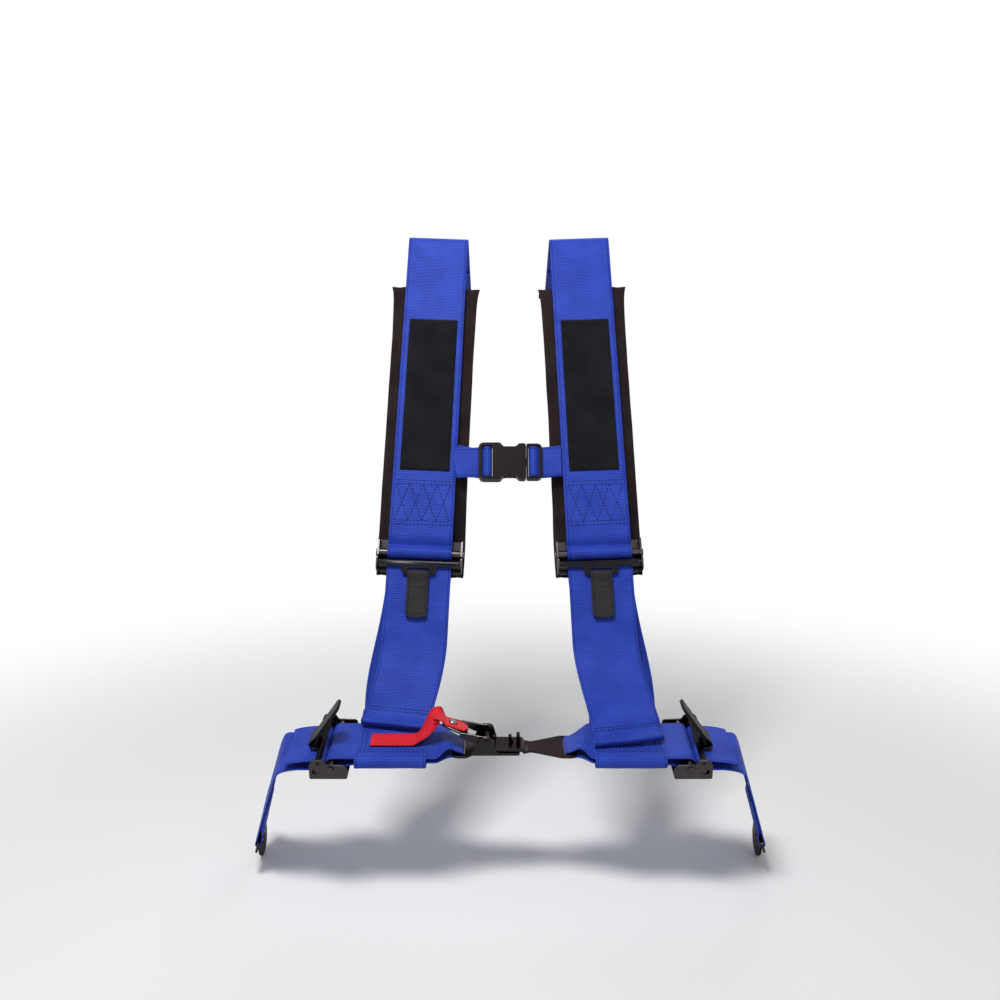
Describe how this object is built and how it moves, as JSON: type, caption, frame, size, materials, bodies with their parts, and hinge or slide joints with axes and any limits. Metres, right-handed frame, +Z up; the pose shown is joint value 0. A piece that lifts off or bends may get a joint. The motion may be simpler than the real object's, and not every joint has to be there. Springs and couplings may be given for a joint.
{
  "type": "racing harness",
  "caption": "Racing harness of blue webbing with padded shoulder straps, tilt-lock adjusters, a lever lap buckle and a clip-together chest strap.",
  "frame": {"origin": "midpoint between the bolt holes of the two lap anchors", "axes": "+Z up, along the longest side of the box; +X to the viewer's right, square to the right lap anchor's face; -Y to the front, where the wearer sits"},
  "size_m": [0.5746, 0.5711, 0.7122],
  "materials": {
    "webbing_blue": "ribbed woven polyester",
    "webbing_black": "woven polyester",
    "webbing_red": "woven polyester",
    "pad_black": "soft cloth over foam",
    "label_black": "smooth woven patch, bare",
    "steel_black": "black chrome on steel",
    "screw_steel": "bright plated steel",
    "plastic_black": "satin moulded"
  },
  "bodies": {
    "straps": {"buckle_pivot_pin": "steel_black", "chest_buckle_plug": "plastic_black", "chest_buckle_socket": "plastic_black", "latch_plate": "steel_black", "left_chest_strap": "webbing_blue", "left_inner_lap_strap": "webbing_blue", "left_label_patch": "label_black", "left_lap_adjuster_crossbar": "steel_black", "left_lap_adjuster_frame": "steel_black", "left_lap_anchor": "steel_black", "left_lower_shoulder_strap": "webbing_blue", "left_outer_lap_strap": "webbing_blue", "left_shoulder_adjuster_crossbar": "steel_black", "left_shoulder_adjuster_frame": "steel_black", "left_shoulder_anchor": "steel_black", "left_shoulder_pad": "pad_black", "left_upper_shoulder_strap": "webbing_blue", "link_plate": "steel_black", "right_chest_strap": "webbing_blue", "right_inner_lap_strap": "webbing_blue", "right_label_patch": "label_black", "right_lap_adjuster_crossbar": "steel_black", "right_lap_adjuster_frame": "steel_black", "right_lap_anchor": "steel_black", "right_lower_shoulder_strap": "webbing_blue", "right_outer_lap_strap": "webbing_blue", "right_shoulder_adjuster_crossbar": "steel_black", "right_shoulder_adjuster_frame": "steel_black", "right_shoulder_anchor": "steel_black", "right_shoulder_pad": "pad_black", "right_upper_shoulder_strap": "webbing_blue"},
    "buckle_lever": {"buckle_lever": "steel_black", "release_strap": "webbing_red", "release_screw": "screw_steel"},
    "left_shoulder_release": {"left_shoulder_adjuster_release": "steel_black"},
    "left_shoulder_lock": {"left_shoulder_adjuster_lock_bar": "steel_black"},
    "left_shoulder_tab": {"left_shoulder_adjuster_pull_tab": "webbing_black"},
    "left_lap_release": {"left_lap_adjuster_release": "steel_black"},
    "left_lap_lock": {"left_lap_adjuster_lock_bar": "steel_black"},
    "left_lap_tab": {"left_lap_adjuster_pull_tab": "webbing_black"},
    "right_shoulder_release": {"right_shoulder_adjuster_release": "steel_black"},
    "right_shoulder_lock": {"right_shoulder_adjuster_lock_bar": "steel_black"},
    "right_shoulder_tab": {"right_shoulder_adjuster_pull_tab": "webbing_black"},
    "right_lap_release": {"right_lap_adjuster_release": "steel_black"},
    "right_lap_lock": {"right_lap_adjuster_lock_bar": "steel_black"},
    "right_lap_tab": {"right_lap_adjuster_pull_tab": "webbing_black"},
    "upper_prong": {"chest_buckle_upper_prong": "plastic_black"},
    "lower_prong": {"chest_buckle_lower_prong": "plastic_black"}
  },
  "joints": [
    {"name": "buckle_lever_lift", "type": "hinge", "parent": "straps", "child": "buckle_lever", "pos_m": [-0.026, -0.0487, 0.14305], "axis": [0, 0.9998, -0.0175], "range_deg": [0, 100]},
    {"name": "left_shoulder_release_lift", "type": "hinge", "parent": "straps", "child": "left_shoulder_release", "pos_m": [-0.107, 0.07971, 0.30778], "axis": [-0.9993, 0.0174, 0.0342], "range_deg": [0, 35], "stiffness_Nm_per_rad": 0.12, "springref_deg": -14.32},
    {"name": "left_shoulder_lock_slide", "type": "slide", "parent": "straps", "child": "left_shoulder_lock", "axis": [-0.0384, -0.4537, -0.8903], "range_m": [0, 0.003]},
    {"name": "left_shoulder_tab_swing", "type": "hinge", "parent": "left_shoulder_release", "child": "left_shoulder_tab", "pos_m": [-0.10748, 0.07404, 0.29665], "axis": [-0.9993, 0.0174, 0.0342], "range_deg": [0, 60]},
    {"name": "left_lap_release_lift", "type": "hinge", "parent": "straps", "child": "left_lap_release", "pos_m": [-0.203, -0.05019, 0.14021], "axis": [0, 0.9903, 0.1392], "range_deg": [0, 35], "stiffness_Nm_per_rad": 0.12, "springref_deg": -14.32},
    {"name": "left_lap_lock_slide", "type": "slide", "parent": "straps", "child": "left_lap_lock", "axis": [-1, 0, 0], "range_m": [0, 0.003]},
    {"name": "left_lap_tab_swing", "type": "hinge", "parent": "left_lap_release", "child": "left_lap_tab", "pos_m": [-0.2155, -0.05019, 0.14021], "axis": [0, 0.9903, 0.1392], "range_deg": [-100, 0]},
    {"name": "right_shoulder_release_lift", "type": "hinge", "parent": "straps", "child": "right_shoulder_release", "pos_m": [0.107, 0.07971, 0.30778], "axis": [-0.9993, -0.0174, -0.0342], "range_deg": [0, 35], "stiffness_Nm_per_rad": 0.12, "springref_deg": -14.32},
    {"name": "right_shoulder_lock_slide", "type": "slide", "parent": "straps", "child": "right_shoulder_lock", "axis": [0.0384, -0.4537, -0.8903], "range_m": [0, 0.003]},
    {"name": "right_shoulder_tab_swing", "type": "hinge", "parent": "right_shoulder_release", "child": "right_shoulder_tab", "pos_m": [0.10748, 0.07404, 0.29665], "axis": [-0.9993, -0.0174, -0.0342], "range_deg": [0, 60]},
    {"name": "right_lap_release_lift", "type": "hinge", "parent": "straps", "child": "right_lap_release", "pos_m": [0.203, -0.05019, 0.14021], "axis": [0, -0.9903, -0.1392], "range_deg": [0, 35], "stiffness_Nm_per_rad": 0.12, "springref_deg": -14.32},
    {"name": "right_lap_lock_slide", "type": "slide", "parent": "straps", "child": "right_lap_lock", "axis": [1, 0, 0], "range_m": [0, 0.003]},
    {"name": "right_lap_tab_swing", "type": "hinge", "parent": "right_lap_release", "child": "right_lap_tab", "pos_m": [0.2155, -0.05019, 0.14021], "axis": [0, -0.9903, -0.1392], "range_deg": [-100, 0]},
    {"name": "upper_prong_squeeze", "type": "hinge", "parent": "straps", "child": "upper_prong", "pos_m": [0.0202, 0.1414, 0.42841], "axis": [0, -0.891, 0.454], "range_deg": [0, 6], "stiffness_Nm_per_rad": 1.5},
    {"name": "lower_prong_squeeze", "type": "hinge", "parent": "straps", "child": "lower_prong", "pos_m": [0.0202, 0.13187, 0.4097], "axis": [0, -0.891, 0.454], "range_deg": [-6, 0], "stiffness_Nm_per_rad": 1.5}
  ],
  "couplings": [
    {"joint": "left_shoulder_release_lift", "follows": "left_shoulder_lock_slide", "rad_per_m": 203.62},
    {"joint": "left_lap_release_lift", "follows": "left_lap_lock_slide", "rad_per_m": 203.62},
    {"joint": "right_shoulder_release_lift", "follows": "right_shoulder_lock_slide", "rad_per_m": 203.62},
    {"joint": "right_lap_release_lift", "follows": "right_lap_lock_slide", "rad_per_m": 203.62},
    {"joint": "lower_prong_squeeze", "follows": "upper_prong_squeeze", "ratio": -1}
  ]
}
